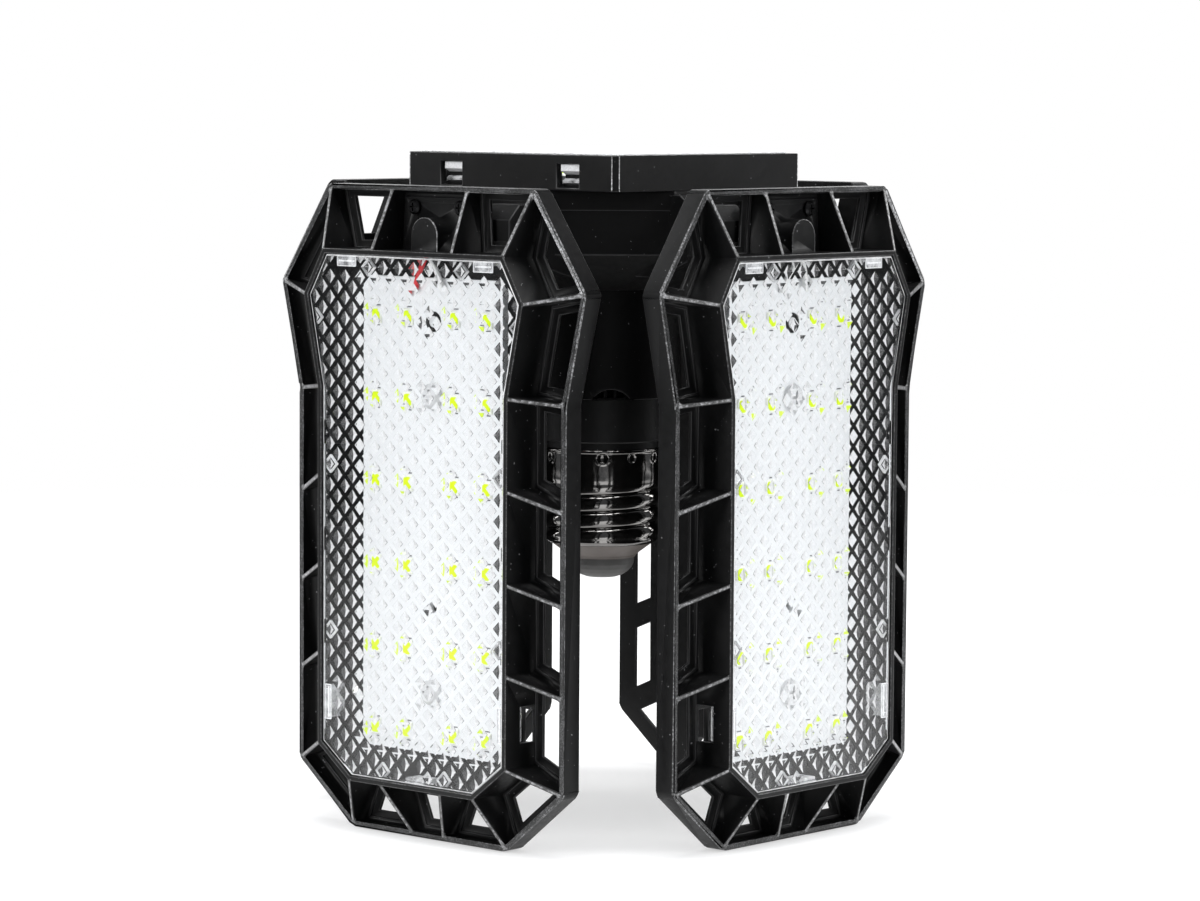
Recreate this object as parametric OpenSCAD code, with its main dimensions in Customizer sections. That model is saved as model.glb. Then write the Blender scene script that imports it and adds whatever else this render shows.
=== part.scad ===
// Folding garage light: four LED panels hinged round a square hub that stands
// over an edison screw base. Folded, the panels hang down round the base and
// the light stands on the four panel ends. Millimetres, +Z up, origin on the
// floor under the hub axis. Panels face -Y, +X, +Y and -X.

/* [Hub] */
// Width of the square hub band, flat to flat
hub_w = 61.2; // [60.2:0.1:62]
// Height of the square hub band
band_h = 7.6; // [7.2:0.1:8.4]
// Wall of the hub mouldings
hub_wall = 1.9; // [1.6:0.1:2.1]
// Distance from the hub axis to the diagonal facets of the housing
facet_n = 29.2; // [28.6:0.1:30]
// Depth of the octagonal part of the housing below the band
oct_h = 13.7; // [13:0.1:14.4]
// Depth at which the taper meets the round neck
taper_h = 21.8; // [21:0.1:22.6]
// Depth of the bottom of the neck
neck_h = 45.5; // [45:0.1:46]
// Radius of the round neck
neck_r = 17.5; // [17:0.1:18.2]

/* [Screw base] */
// Radius of the plain skirt and of the thread crests
shell_r = 13.0; // [12.9:0.05:13.1]
// Pitch of the base thread
thread_pitch = 3.62; // [3.6:0.01:3.66]
// Height of the plain skirt above the thread
skirt_h = 7.5; // [7:0.1:8]
// Radius of the black collar between neck and shell
collar_r = 13.9; // [13.6:0.1:14.2]
// Height of the collar that shows
collar_h = 11.3; // [10.8:0.1:11.8]

/* [Panel] */
// Distance from the hub axis to the flat back of a folded panel
panel_n = 50.1; // [50:0.1:51]
// Thickness of the back plate
plate_t = 1.5; // [1.3:0.1:1.8]
// Depth of the outer rim, from the back
rim_d = 4.85; // [4.4:0.05:5.4]
// Depth of the tray that holds the lens, from the back
tray_d = 10.4; // [10:0.1:11]
// Wall of the outer rim
rim_t = 1.2; // [1:0.1:1.4]
// Wall of the lens tray
tray_t = 1.1; // [1:0.1:1.2]
// Thickness of the ribs between tray and rim
rib_t = 0.9; // [0.7:0.1:1.2]
// Width of the recessed step round each window
step_w = 1.4; // [1:0.1:1.6]

/* [Light source] */
// Half width of the panel circuit board
board_hw = 20.3; // [20:0.1:20.8]
// Thickness of the circuit boards
board_t = 1.5; // [1.4:0.1:1.6]
// Vertical pitch of the LED rows on a panel
led_pitch = 17.65; // [17:0.05:18]
// Rows of LEDs on a panel
led_rows = 6; // [4:1:6]
// Thickness of the clear covers
lens_t = 1.6; // [1.2:0.1:1.8]

/* [Hinge] */
// Distance of the hinge axis from the hub axis
hinge_n = 44; // [43.8:0.1:44.2]
// Depth of the hinge axis below the band
hinge_drop = 8; // [7.8:0.1:8.2]
// Radius of the hub ears round the hinge axis
ear_r = 5.4; // [5:0.1:5.4]
// Radius of the hinge screws
pin_r = 1.5; // [1.4:0.05:1.6]
// Radial running clearance in the panel knuckles
run_gap = 0.05; // [0.03:0.01:0.08]

/* [Hidden] */
zb = 137.3;
$fn = 48;
eps = 0.01;

// ---- outline helpers (outlines run clockwise) ----
function unit(v) = v / norm(v);
function rn(v) = [v[1], -v[0]];
function both(h) = concat(h, [for (i = [len(h) - 1 : -1 : 0]) [-h[i][0], h[i][1]]]);
// outline moved in by d all round
function inset(P, d) = let (n = len(P)) [for (i = [0 : n - 1])
  let (a = rn(unit(P[i] - P[(i + n - 1) % n])), b = rn(unit(P[(i + 1) % n] - P[i])))
  P[i] + d * (a + b) / (1 + a * b)];
// outline moved in by its own distance on each side
function inset_each(P, D) = let (n = len(P)) [for (i = [0 : n - 1])
  let (j = (i + n - 1) % n,
       a = rn(unit(P[i] - P[j])), b = rn(unit(P[(i + 1) % n] - P[i])),
       k = a[0] * b[1] - a[1] * b[0])
  P[i] + [(D[j] * b[1] - D[i] * a[1]) / k, (a[0] * D[i] - b[0] * D[j]) / k]];

// ---- panel outlines: x across the panel, y up from the band's lower edge ----
rim_half = [[29.9, 1.0], [44.4, -20.1], [38.9, -43.3], [38.9, -124.1], [22.65, -137.3]];
tray_half = [[26.2, -12.6], [31.9, -22.4], [27.7, -42.1], [27.6, -119.1], [18.2, -126.3]];
RIM = both(rim_half);
RIM_IN = inset(RIM, rim_t);
TRAY = both(tray_half);
TRAY_IN = inset(TRAY, tray_t);
// ribs of the right half, from the top round to the bottom: tray end, rim end
ribs = [
  [[11.6, -12.6], [10.8, RIM_IN[0][1]]],
  [tray_half[0], RIM_IN[0]], [tray_half[1], RIM_IN[1]], [tray_half[2], RIM_IN[2]],
  [[27.7, -61.3], [RIM_IN[2][0], -65.2]],
  [[27.7, -80.6], [RIM_IN[2][0], -84.5]],
  [[27.7, -99.6], [RIM_IN[2][0], -103.6]],
  [tray_half[3], RIM_IN[3]], [tray_half[4], RIM_IN[4]],
  [[8.7, -126.3], [4.65, RIM_IN[4][1]]]];
// distance of each window from its rim side and its tray side
win_rim = [1.5, 2.8, 3.4, 3.9, 3.9, 3.9, 3.9, 2.7, 2.3];
win_tray = [1.6, 2.1, 1.9, 1.7, 1.7, 1.7, 1.7, 2.0, 2.5];
win_rib = 2.7;
function cell(i) = [ribs[i][0], ribs[i][1], ribs[i + 1][1], ribs[i + 1][0]];
foot_cell = [ribs[9][0], ribs[9][1], [-ribs[9][1][0], ribs[9][1][1]], [-ribs[9][0][0], ribs[9][0][1]]];

rim_front = panel_n + rim_d;
tray_front = panel_n + tray_d;
plate_front = panel_n + plate_t;
board_back = plate_front + 0.03;
board_front = board_back + board_t;
// the boards sit a little left of the panel's middle
board_u = -0.4;
lens_front = tray_front - 0.4;
lens_back = lens_front - lens_t;

// lens clips: [centre, wall angle, width]
clip_top = [19.5, -12.6];
clip_side = [27.6, -110];
clip_w = 5.4;
clip_sw = 7.0;
clip_lo = 51.6;
clip_hi = 55.9;

screw_y = [-43.2, -106.1];
locate_y = -27.5;
vent_y = -88;

// panel frame of reference: x across, y up, z outward from the hub axis
module on_side(k) rotate([0, 0, 90 * k]) translate([0, 0, zb]) rotate([90, 0, 0]) children();
module mirrored() { children(); mirror([1, 0, 0]) children(); }

// ---- panel frame ----
module rib(a, b) {
  l = norm(b - a);
  translate([a[0], a[1], 0]) rotate([0, 0, atan2(b[1] - a[1], b[0] - a[0])])
    rotate([90, 0, 0]) translate([0, 0, -rib_t / 2])
      linear_extrude(rib_t)
        polygon([[-tray_t * 0.6, panel_n + 0.5], [l + rim_t * 0.6, panel_n + 0.5],
                 [l + rim_t * 0.6, rim_front - 0.15], [0, tray_front - 0.15], [-tray_t * 0.6, tray_front - 0.15]]);
}

module window(c, dr, dt) {
  translate([0, 0, panel_n - 1]) linear_extrude(plate_t + 2)
    polygon(inset_each(c, [win_rib, dr, win_rib, dt]));
  translate([0, 0, plate_front - 0.7]) linear_extrude(2)
    polygon(inset_each(c, [win_rib - step_w, dr - min(step_w, dr - 0.1), win_rib - step_w, dt - min(step_w, dt - 0.1)]));
}

module dome_outline(r) {
  translate([0, -9.3]) circle(r = r);
  translate([-r, -12.7]) square([2 * r, 3.4]);
}

module panel_frame() color([0.045, 0.045, 0.048]) difference() {
  union() {
    difference() {
      translate([0, 0, panel_n]) linear_extrude(plate_t) polygon(RIM);
      for (i = [0 : 8]) mirrored() window(cell(i), win_rim[i], win_tray[i]);
      window(foot_cell, 2.3, 2.5);
    }
    translate([0, 0, panel_n]) linear_extrude(rim_d) difference() {
      polygon(RIM);
      polygon(RIM_IN);
    }
    translate([0, 0, panel_n]) linear_extrude(tray_d) difference() {
      polygon(TRAY);
      polygon(TRAY_IN);
    }
    mirrored() for (r = ribs) rib(r[0], r[1]);
    // plate that backs the hinge bracket
    translate([0, 0, plate_front - eps]) linear_extrude(0.5 + eps)
      polygon([[-9.9, -1.4], [9.9, -1.4], [10.6, -12.6], [-10.6, -12.6]]);
    // hood over the wire entry
    translate([0, 0, plate_front - eps]) linear_extrude(4.9 + eps) dome_outline(3.8);
    // bosses behind the plate for the board screws, and the post that locates the board
    for (y = screw_y) translate([0, y, panel_n - 2.2]) cylinder(r = 3.0, h = 2.2 + eps);
    translate([0, locate_y, plate_front - eps]) cylinder(r = 2.1, h = board_front + 0.15 - plate_front);
    // ledge that carries the lens
    for (s = [-1, 1]) for (y = [-52, -75, -95]) translate([s * 25.6 - 1, y - 2.5, plate_front - eps])
      cube([2, 5, lens_back - plate_front]);
  }
  // wire way through the plate, under the hood and into the tray
  translate([0, 0, panel_n - 1]) linear_extrude(2 + plate_t + 3.3) translate([0, -8]) circle(r = 1.9);
  translate([-1.9, -14.5, plate_front + 0.9]) cube([3.8, 6.5, 3.4]);
  // holes for the bracket screws
  for (s = [-1, 1]) translate([s * 6.7, -3.5, panel_n - 1]) cylinder(r = 1.1, h = 4);
  // board screw holes and the locating tube
  for (y = screw_y) translate([0, y, panel_n - 1.6]) cylinder(r = 1.45, h = 6);
  translate([0, locate_y, panel_n + 0.6]) cylinder(r = 1.3, h = 8);
  // slots for the lens clips, through the wall and through the plate below
  for (s = [-1, 1]) {
    translate([s * (clip_side[0] - 0.5) - 1.3, clip_side[1] - clip_sw / 2 - 0.3, clip_lo]) cube([2.6, clip_sw + 0.6, clip_hi - clip_lo]);
    translate([s * 25.4 - 1.5, -114.3, panel_n - 1]) cube([3, 7, 4]);
    translate([s * clip_top[0] - clip_w / 2 - 0.3, clip_top[1] - 1.8, clip_lo]) cube([clip_w + 0.6, 2.6, clip_hi - clip_lo]);
  }
  translate([-clip_w / 2 - 0.3, -127, clip_lo]) cube([clip_w + 0.6, 2.6, clip_hi - clip_lo]);
}

// ---- clear panel cover ----
module lens_clip(w) {
  // leg in the y-z plane, hook outward along +y
  translate([-w / 2, -1.1, clip_lo + 2.6]) cube([w, 1.0, lens_back - clip_lo - 2.6 + eps]);
  translate([-w / 2, 0, 0]) rotate([90, 0, 90]) linear_extrude(w)
    polygon([[-0.6, clip_lo + 2.6], [0.15, clip_lo + 2.9], [0.75, clip_hi - 0.7], [0.75, clip_hi - 0.25], [-0.6, clip_hi - 0.25]]);
}

module panel_lens() color([0.85, 0.88, 0.9, 0.45]) {
  translate([0, 0, lens_back]) linear_extrude(lens_t) polygon(inset(TRAY_IN, 0.15));
  for (s = [-1, 1]) {
    translate([s * clip_top[0], clip_top[1] - tray_t - 0.1, 0]) lens_clip(clip_w);
    translate([s * (clip_side[0] - tray_t - 0.1), clip_side[1], 0]) rotate([0, 0, s > 0 ? -90 : 90]) lens_clip(clip_sw);
  }
  translate([0, -126.3 + tray_t + 0.1, 0]) rotate([0, 0, 180]) lens_clip(clip_w);
}

// ---- panel board, LEDs and screws ----
led_x = [-16.2, -6.8, 6.8, 16.2];
function led_y(i) = -26.7 - led_pitch * i;

module panel_board() color([0.93, 0.94, 0.95]) difference() {
  translate([0, 0, board_back]) linear_extrude(board_t) difference() {
    translate([board_u, 0])
      polygon([[-board_hw, -20.3], [-board_hw + 2, -18.3], [board_hw - 2, -18.3], [board_hw, -20.3],
               [board_hw, -117.2], [board_hw - 2, -119.2], [-board_hw + 2, -119.2], [-board_hw, -117.2]]);
    for (y = screw_y) translate([0, y]) circle(r = 1.7);
    translate([0, locate_y]) circle(r = 2.2);
    translate([0, vent_y]) circle(r = 1.2);
  }
}

module led() {
  translate([-1.4, -1.75, 0]) cube([2.8, 3.5, 0.55]);
  translate([0, 0, 0.55 - eps]) cylinder(r = 1.15, h = 0.15 + eps, $fn = 24);
}

module panel_leds() color([0.93, 0.93, 0.45])
  for (x = led_x) for (i = [0 : led_rows - 1]) translate([board_u + x, led_y(i), board_front]) led();

module pan_screw(head_r, head_h, shank_r, shank_l) {
  difference() {
    union() {
      translate([0, 0, 0]) cylinder(r = head_r, h = head_h * 0.6);
      translate([0, 0, head_h * 0.6 - eps]) cylinder(r1 = head_r, r2 = head_r * 0.72, h = head_h * 0.4 + eps);
      translate([0, 0, -shank_l]) cylinder(r = shank_r, h = shank_l + eps);
    }
    for (a = [0, 90]) rotate([0, 0, a]) translate([-head_r * 0.55, -head_r * 0.11, head_h * 0.35])
      cube([head_r * 1.1, head_r * 0.22, head_h]);
  }
}

module panel_board_screws() color([0.75, 0.75, 0.76]) {
  for (y = screw_y) translate([0, y, board_front]) pan_screw(2.7, 1.5, 1.35, 4.0);
  // rivet in the locating post
  translate([0, locate_y, panel_n + 0.65]) cylinder(r = 1.2, h = board_front + 0.05 - panel_n - 0.65);
}

// ---- hinge knuckle: two cheeks on a foot that is screwed to the panel ----
cheek_in = 5.0;
cheek_out = 8.7;
module panel_knuckle() color([0.055, 0.055, 0.058]) difference() {
  union() {
    for (s = [-1, 1]) translate([s > 0 ? cheek_in : -cheek_out, 0, 0]) rotate([90, 0, 90])
      linear_extrude(cheek_out - cheek_in) {
        translate([-hinge_drop, hinge_n]) circle(r = 4.9);
        polygon([[-hinge_drop - 4.9, hinge_n], [-hinge_drop + 4.9, hinge_n], [-2.4, panel_n - 2], [-2.4, panel_n - 0.05],
                 [-15, panel_n - 0.05], [-15, panel_n - 2]]);
      }
    translate([-cheek_out, -15, panel_n - 2.5]) cube([2 * cheek_out, 14.0, 2.45]);
  }
  // bores for the hinge screws
  translate([-cheek_out - 1, -hinge_drop, hinge_n]) rotate([0, 90, 0]) cylinder(r = pin_r + run_gap, h = 2 * cheek_out + 2);
  // wire way and screw holes in the foot
  translate([0, -8, panel_n - 4]) cylinder(r = 1.9, h = 6);
  for (s = [-1, 1]) translate([s * 6.7, -3.5, panel_n - 8]) cylinder(r = 0.95, h = 9);
}

module panel_knuckle_screws() color([0.10, 0.10, 0.105])
  for (s = [-1, 1]) translate([s * 6.7, -3.5, plate_front + 0.5]) pan_screw(1.6, 1.0, 0.9, 4.0);

// ---- wires ----
function circ(p, t, r, n) = let (z = unit(t), ax = abs(z[0]) < 0.9 ? [1, 0, 0] : [0, 1, 0],
  x = unit(cross(ax, z)), y = cross(z, x))
  [for (i = [0 : n - 1]) p + r * (cos(360 * i / n) * x + sin(360 * i / n) * y)];
function bez(P, t) = (1 - t) * (1 - t) * (1 - t) * P[0] + 3 * (1 - t) * (1 - t) * t * P[1] + 3 * (1 - t) * t * t * P[2] + t * t * t * P[3];
function curve(P, n) = [for (i = [0 : n]) bez(P, i / n)];
module tube(pts, r, n = 8) {
  m = len(pts);
  rings = [for (i = [0 : m - 1])
    circ(pts[i], i == 0 ? pts[1] - pts[0] : i == m - 1 ? pts[m - 1] - pts[m - 2] : pts[i + 1] - pts[i - 1], r, n)];
  polyhedron(points = [for (q = rings) each q],
    faces = concat([[for (j = [0 : n - 1]) j]], [[for (j = [n - 1 : -1 : 0]) (m - 1) * n + j]],
      [for (i = [0 : m - 2]) for (j = [0 : n - 1])
        [i * n + j, (i + 1) * n + j, (i + 1) * n + (j + 1) % n, i * n + (j + 1) % n]]));
}

wire_r = 0.6;
module panel_leads() for (s = [-1, 1]) color(s < 0 ? [0.75, 0.05, 0.07] : [0.9, 0.9, 0.9])
  let (e = s < 0 ? 4.6 : 3.4)
  tube(concat([[s * 0.75, -8, hinge_n + 0.9]],
              curve([[s * 0.75, -8, hinge_n + 3], [s * 0.75, -8, 54.5], [s * 0.75, -8.3, 55.0], [s * 0.75, -13, 55.0]], 6),
              curve([[s * 1.0, -14.4, 54.9], [s * 1.8, -16.0, 54.7], [s * e * 0.8, -17.5, 54.3], [s * e, -20.9, board_front + 0.75]], 6)), wire_r);

// ---- hub ----
hw = hub_w / 2;
ch = 1.05;
function soft_square(a, c) = [[a - c, a], [a, a - c], [a, -a + c], [a - c, -a], [-a + c, -a], [-a, -a + c], [-a, a - c], [-a + c, a]];
function octo(a, d) = let (b = d * sqrt(2) - a)
  [[b, a], [a, b], [a, -b], [b, -a], [-b, -a], [-a, -b], [-a, b], [-b, a]];
BAND = soft_square(hw, ch);
lens_seat = band_h - 1.1;
slot_x = 17;

module hub_top_frame() color([0.05, 0.05, 0.053]) translate([0, 0, zb]) difference() {
  union() {
    linear_extrude(band_h) difference() {
      polygon(BAND);
      polygon(soft_square(hw - hub_wall, 0.5));
    }
    linear_extrude(1.5) polygon(soft_square(hw - 0.8, 0.6));
    translate([0, 0, lens_seat - 1.5]) linear_extrude(1.5) difference() {
      polygon(soft_square(hw - 0.8, 0.6));
      square([52, 52], center = true);
    }
    for (a = [0 : 90 : 270]) rotate([0, 0, a]) translate([14, 0, -5]) cylinder(r = 2.6, h = 5.5);
  }
  // slots for the cover clips on the front and back faces
  for (s = [-1, 1]) for (x = [-slot_x, slot_x]) {
    translate([x - 3.15, s > 0 ? hw - hub_wall - 0.6 : -hw - 1, 0.6]) cube([6.3, hub_wall + 1.6, 5.1]);
    translate([x - 3.15, s > 0 ? hw - 4.35 : -hw + 1.75, 2]) cube([6.3, 2.6, 6]);
  }
  // wire way, board screw holes and frame screw holes
  translate([0, 0, -1]) cylinder(r = 9, h = 4);
  for (a = [0 : 90 : 270]) rotate([0, 0, a]) {
    translate([14, 0, -4]) cylinder(r = 1.3, h = 8);
    translate([14, 14, -1]) cylinder(r = 1.7, h = 4);
  }
}

module hub_clip() {
  translate([-2.7, 0, 0]) rotate([90, 0, 90]) linear_extrude(5.4)
    polygon([[-1.1, 1.65], [0.7, 1.65], [0.7, 2.1], [-0.1, 2.6], [-0.1, 3.4], [0.3, 3.6], [1.3, 5.0], [1.3, 5.55],
             [-0.1, 5.55], [-0.1, lens_seat + eps], [-1.1, lens_seat + eps]]);
}

module hub_lens() color([0.85, 0.88, 0.9, 0.45]) translate([0, 0, zb]) {
  translate([0, 0, lens_seat]) linear_extrude(lens_t) polygon(soft_square(hw - hub_wall - 0.15, 0.7));
  for (s = [0, 180]) rotate([0, 0, s]) for (x = [-slot_x, slot_x]) translate([x, hw - hub_wall - 0.3, 0]) hub_clip();
}

module hub_board() color([0.93, 0.94, 0.95]) translate([0, 0, zb + 1.5]) linear_extrude(board_t) difference() {
  polygon([[-25, 22], [-22, 25], [22, 25], [25, 22], [25, -22], [22, -25], [-22, -25], [-25, -22]]);
  circle(r = 2.6);
  for (a = [0 : 90 : 270]) rotate([0, 0, a]) {
    translate([14, 0]) circle(r = 1.6);
    translate([14, 14]) circle(r = 3.1);
  }
}

module hub_leds() color([0.93, 0.93, 0.45])
  for (x = [-21, -7, 7, 21]) for (y = [-21, -7, 7, 21]) translate([x, y, zb + 1.5 + board_t]) led();

module hub_board_screws() color([0.75, 0.75, 0.76])
  for (a = [0 : 90 : 270]) rotate([0, 0, a]) translate([14, 0, zb + 1.5 + board_t]) pan_screw(2.4, 1.3, 1.2, 5.5);

module housing_screws() color([0.75, 0.75, 0.76])
  for (a = [0 : 90 : 270]) rotate([0, 0, a]) translate([14, 14, zb + 1.5]) pan_screw(2.7, 1.5, 1.4, 9);

// ear outline: x is height above the band's lower edge, y the distance from the axis
module ear_outline() let (b = ear_r * tan(22.5)) polygon([
  [-0.9, 20], [-0.9, 32.5], [-hinge_drop + ear_r, 34.8], [-hinge_drop + ear_r, hinge_n + b], [-hinge_drop + b, hinge_n + ear_r],
  [-hinge_drop - b, hinge_n + ear_r], [-hinge_drop - ear_r, hinge_n + b], [-hinge_drop - ear_r, 38], [-16.6, 31], [-18.6, 24], [-18.6, 20]]);

// low arch of the neck vents
module vent_outline() intersection() {
  translate([0, -2.95]) circle(r = 5.0, $fn = 64);
  translate([-5, 0]) square([10, 3]);
}

// ear seen from above: x across, y the distance from the axis; it widens round the screw
ear_in = 9.8;
ear_out = 17.8;
ear_plan = [[ear_in, 19], [12.2, 19], [12.2, 34.5], [ear_out, 39.5], [ear_out, 51], [ear_in, 51]];
lip_h = 4.3;
module hub_housing() color([0.05, 0.05, 0.053]) translate([0, 0, zb]) {
  housing_shell();
  housing_bosses();
}

module housing_shell() difference() {
  union() {
    translate([0, 0, -lip_h]) linear_extrude(lip_h) polygon(octo(hw - 0.15, facet_n + 0.4));
    translate([0, 0, -oct_h]) linear_extrude(oct_h - lip_h + eps) polygon(octo(hw - 0.35, facet_n));
    hull() {
      translate([0, 0, -oct_h]) linear_extrude(eps) polygon(octo(hw - 0.35, facet_n));
      translate([0, 0, -taper_h]) cylinder(r = neck_r, h = eps, $fn = 48);
    }
    translate([0, 0, -neck_h]) cylinder(r1 = neck_r, r2 = neck_r - 0.4, h = 9.6);
    translate([0, 0, -neck_h + 9.6 - eps]) cylinder(r = neck_r - 0.4, h = neck_h - 9.6 - taper_h + 0.5);
    for (k = [0 : 3]) rotate([0, 0, 90 * k]) rotate([90, 0, 0]) mirrored() intersection() {
      translate([ear_in, 0, 0]) rotate([90, 0, 90]) linear_extrude(ear_out - ear_in) ear_outline();
      translate([0, 1, 0]) rotate([90, 0, 0]) linear_extrude(22) polygon(ear_plan);
    }
  }
  // hollow of the housing
  translate([0, 0, -oct_h + 0.4]) linear_extrude(oct_h + 1) polygon(octo(hw - 2.35, facet_n - 2));
  hull() {
    translate([0, 0, -oct_h + 0.4]) linear_extrude(eps) polygon(octo(hw - 2.35, facet_n - 2));
    translate([0, 0, -taper_h + 0.4]) cylinder(r = neck_r - 1.9, h = eps, $fn = 48);
  }
  translate([0, 0, -neck_h + 1.8]) cylinder(r = neck_r - 1.9, h = neck_h - taper_h);
  translate([0, 0, -neck_h - 1]) cylinder(r = 12.3, h = 5);
  // hinge bores
  for (k = [0 : 3]) rotate([0, 0, 90 * k]) rotate([90, 0, 0])
    translate([-ear_out - 1, -hinge_drop, hinge_n]) rotate([0, 90, 0]) cylinder(r = pin_r + 0.02, h = 2 * ear_out + 2);
  // wire ways in the four flats
  for (k = [0 : 3]) rotate([0, 0, 90 * k]) translate([0, -20, -hinge_drop]) rotate([90, 0, 0]) cylinder(r = 1.9, h = 12);
  // arched vents on the diagonals at the foot of the neck
  for (k = [0 : 3]) rotate([0, 0, 48 + 90 * k]) {
    translate([0, -neck_r + 1.0, -neck_h + 0.15]) rotate([90, 0, 0]) linear_extrude(3) vent_outline();
    translate([0, -neck_r + 3.4, -neck_h + 0.15]) rotate([90, 0, 0]) linear_extrude(5) intersection() {
      vent_outline();
      union() for (x = [[-2.9, -1.6], [-0.75, 0.55], [1.2, 2.9]]) translate([x[0], 0.25]) square([x[1] - x[0], 3]);
    }
  }
}

module housing_bosses() for (a = [0 : 90 : 270]) rotate([0, 0, a]) translate([14, 14, -17.7]) difference() {
  cylinder(r = 3, h = 17.68);
  translate([0, 0, 7.7]) cylinder(r = 1.45, h = 12);
}

// ---- hinge fasteners, fixed in the hub ears ----
module hinge_screws() color([0.12, 0.12, 0.125]) for (k = [0 : 3]) on_side(k) for (s = [-1, 1])
  translate([s * ear_out, -hinge_drop, hinge_n]) rotate([0, s * 90, 0]) pan_screw(2.8, 1.9, pin_r, ear_out - 2.7);

module hinge_washers() color([0.6, 0.6, 0.62]) for (k = [0 : 3]) on_side(k) for (s = [-1, 1])
  translate([s > 0 ? 8.85 : -9.75, -hinge_drop, hinge_n]) rotate([0, 90, 0]) difference() {
    cylinder(r = 3.4, h = 0.9);
    translate([0, 0, -1]) cylinder(r = pin_r + 0.08, h = 3);
  }

module hinge_nuts() color([0.6, 0.6, 0.62]) for (k = [0 : 3]) on_side(k) for (s = [-1, 1])
  translate([s > 0 ? 2.6 : -4.85, -hinge_drop, hinge_n]) rotate([0, 90, 0]) difference() {
    cylinder(r = 2.95, h = 2.25, $fn = 6);
    translate([0, 0, -1]) cylinder(r = pin_r + 0.02, h = 5);
  }

// ---- driver ----
module driver_board() color([0.1, 0.3, 0.16]) translate([0, 0, zb]) {
  translate([-0.8, -13, -38]) cube([1.6, 26, 33]);
  translate([-0.8, -9, -48]) cube([1.6, 18, 10 + eps]);
}
module driver_capacitor() color([0.08, 0.1, 0.2]) translate([6.1, -5.5, zb - 36]) {
  cylinder(r = 4.9, h = 16);
  translate([0, 0, -0.5]) cylinder(r = 4.4, h = 0.6);
}
module driver_transformer() color([0.85, 0.8, 0.45]) translate([0.8, 0.8, zb - 31]) {
  translate([0, 0, 0]) cube([9.5, 10.4, 2.2]);
  translate([0.9, 1.2, 2.1]) cube([7.7, 8, 7.8]);
  translate([0, 0, 9.8]) cube([9.5, 10.4, 2.2]);
}
module driver_components() color([0.2, 0.2, 0.22]) translate([0, 0, zb]) {
  translate([0.8, -9.5, -17]) cube([5.5, 9, 7]);
  translate([0.8, 4, -16]) cube([1.8, 4.5, 5.5]);
  translate([-3.6, -6, -32]) cube([2.8, 6.6, 9.2]);
  translate([-5.8, 5, -20]) rotate([0, 90, 0]) cylinder(r = 3.6, h = 5);
  translate([-2.3, -8, -16]) cube([1.5, 4, 5]);
  translate([0.8, -3, -45]) cube([4.5, 6, 4.4]);
}

module hub_leads() color([0.75, 0.05, 0.07]) translate([0, 0, zb])
  for (k = [0 : 3]) rotate([0, 0, 90 * k]) for (s = [-1, 1])
    tube(concat([[s * 0.75, -hinge_n + 0.9, -8], [s * 0.75, -34, -8]],
                curve([[s * 0.75, -28, -8], [s * 0.75, -21.5, -8], [s * 0.75 + 4.3, -21.5, -6.5], [s * 0.75 + 4.3, -14, -5.6]], 6),
                curve([[s * 0.75 + 4.3, -12.6, -5.3], [s * 0.75 + 4.3, -9, -4.6], [s * 0.75 + 4.3, -6.2, -3], [s * 0.75 + 4.3, -6.0, 1.3]], 5)), wire_r);

module supply_leads() color([0.85, 0.85, 0.85]) translate([0, 0, zb]) {
  tube(curve([[0, -5.4, -48.8], [0, -5.6, -60], [0, 0, -63], [0, 0, -80.8]], 10), 0.75);
  tube(curve([[0, 6.4, -48.8], [0, 6.6, -57.5], [0, 9.2, -58], [0, 10.0, -65.2]], 8), 0.6);
}

// ---- screw base ----
z_collar = -neck_h - collar_h;
z_thread = z_collar - skirt_h;
turns = 3.55;
z_end = z_thread - turns * thread_pitch;

module base_collar() color([0.02, 0.02, 0.02]) translate([0, 0, zb]) rotate_extrude()
  polygon([[10.8, -neck_h + 3.6], [12.25, -neck_h + 3.6], [12.25, -neck_h - 0.02], [collar_r - 0.3, -neck_h - 0.02], [collar_r, -neck_h - 0.4],
           [collar_r, z_collar + 1.8], [collar_r - 0.25, z_collar + 1.5], [12.9, z_collar + 1.5], [12.9, z_collar + 0.05],
           [12.35, z_collar + 0.05], [12.35, z_collar - 5.5], [10.8, z_collar - 5.5]]);

// thread ridge: rounded wave between the crest and a root 1 mm deeper
function thread_r(t) = let (edge = min(1, t * 2, (turns - t) * 1.6))
  shell_r - 0.03 - (1 - edge) * 0.5 - 1.0 * edge * (0.5 + 0.5 * cos(360 * t));
steps = 60;
wave = [for (i = [0 : steps]) let (t = turns * i / steps) [thread_r(t), z_thread - t * thread_pitch]];
wall = 0.4;
module screw_shell() color([0.28, 0.27, 0.27]) translate([0, 0, zb]) rotate_extrude()
  polygon(concat(
    [[shell_r, z_thread + 0.35], [shell_r, z_collar - 0.75], [shell_r + 0.25, z_collar - 0.55], [shell_r + 0.25, z_collar - 0.15], [shell_r, z_collar],
     [12.45, z_collar], [12.45, z_thread + 0.35]],
    [for (p = wave) [p[0] - wall - 0.15, p[1]]],
    [[11.2, z_end - 0.5], [11.2, z_end - 0.9], [11.75, z_end - 0.7]],
    [for (i = [steps : -1 : 0]) wave[i]]));

module base_insulator() color([0.36, 0.33, 0.31]) translate([0, 0, zb]) rotate_extrude()
  polygon([[1.2, z_end + 1.6], [11.15, z_end + 1.6], [11.15, z_end - 0.9], [10.8, z_end - 1.2], [8.9, z_end - 2.6], [7.7, z_end - 3.5], [7.4, z_end - 4.1], [1.2, z_end - 4.1]]);

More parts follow.
